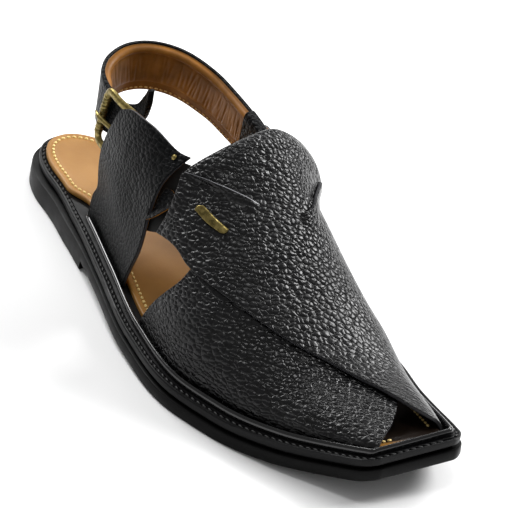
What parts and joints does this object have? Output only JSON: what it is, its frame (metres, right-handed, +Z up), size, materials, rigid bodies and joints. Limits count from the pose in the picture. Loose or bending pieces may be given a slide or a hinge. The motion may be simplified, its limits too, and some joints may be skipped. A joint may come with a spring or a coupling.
{
  "type": "peshawari chappal sandal",
  "caption": "Welted leather sandal with crossed vamp straps, a tongue saddle, two quarters and a padded heel strap with a buckle on the outer side.",
  "frame": {"origin": "on the floor under the middle of the whole shoe", "axes": "+X towards the toe, +Y to the wearer's left, which is the inner side of this right shoe, +Z up"},
  "size_m": [0.2862, 0.1094, 0.0984],
  "materials": {
    "upper": "black pebbled leather, satin",
    "lining": "smooth tan leather, glazed",
    "rubber": "moulded black, satin",
    "edge": "black dyed and stitched",
    "rand": "black, glossy",
    "brass": "antique, brushed",
    "thread": "waxed cream thread"
  },
  "bodies": {
    "root": {"outsole": "rubber", "midsole": "edge", "welt": "edge", "insole": "lining", "rand": "rand", "upper": "upper", "quarter_lateral": "upper", "quarter_medial": "upper", "heel_strap": "upper", "chape": "upper", "inner_tab": "upper", "buckle_frame": "brass", "buckle_prong": "brass", "rivet": "brass", "vamp_bar": "brass"}
  },
  "joints": []
}
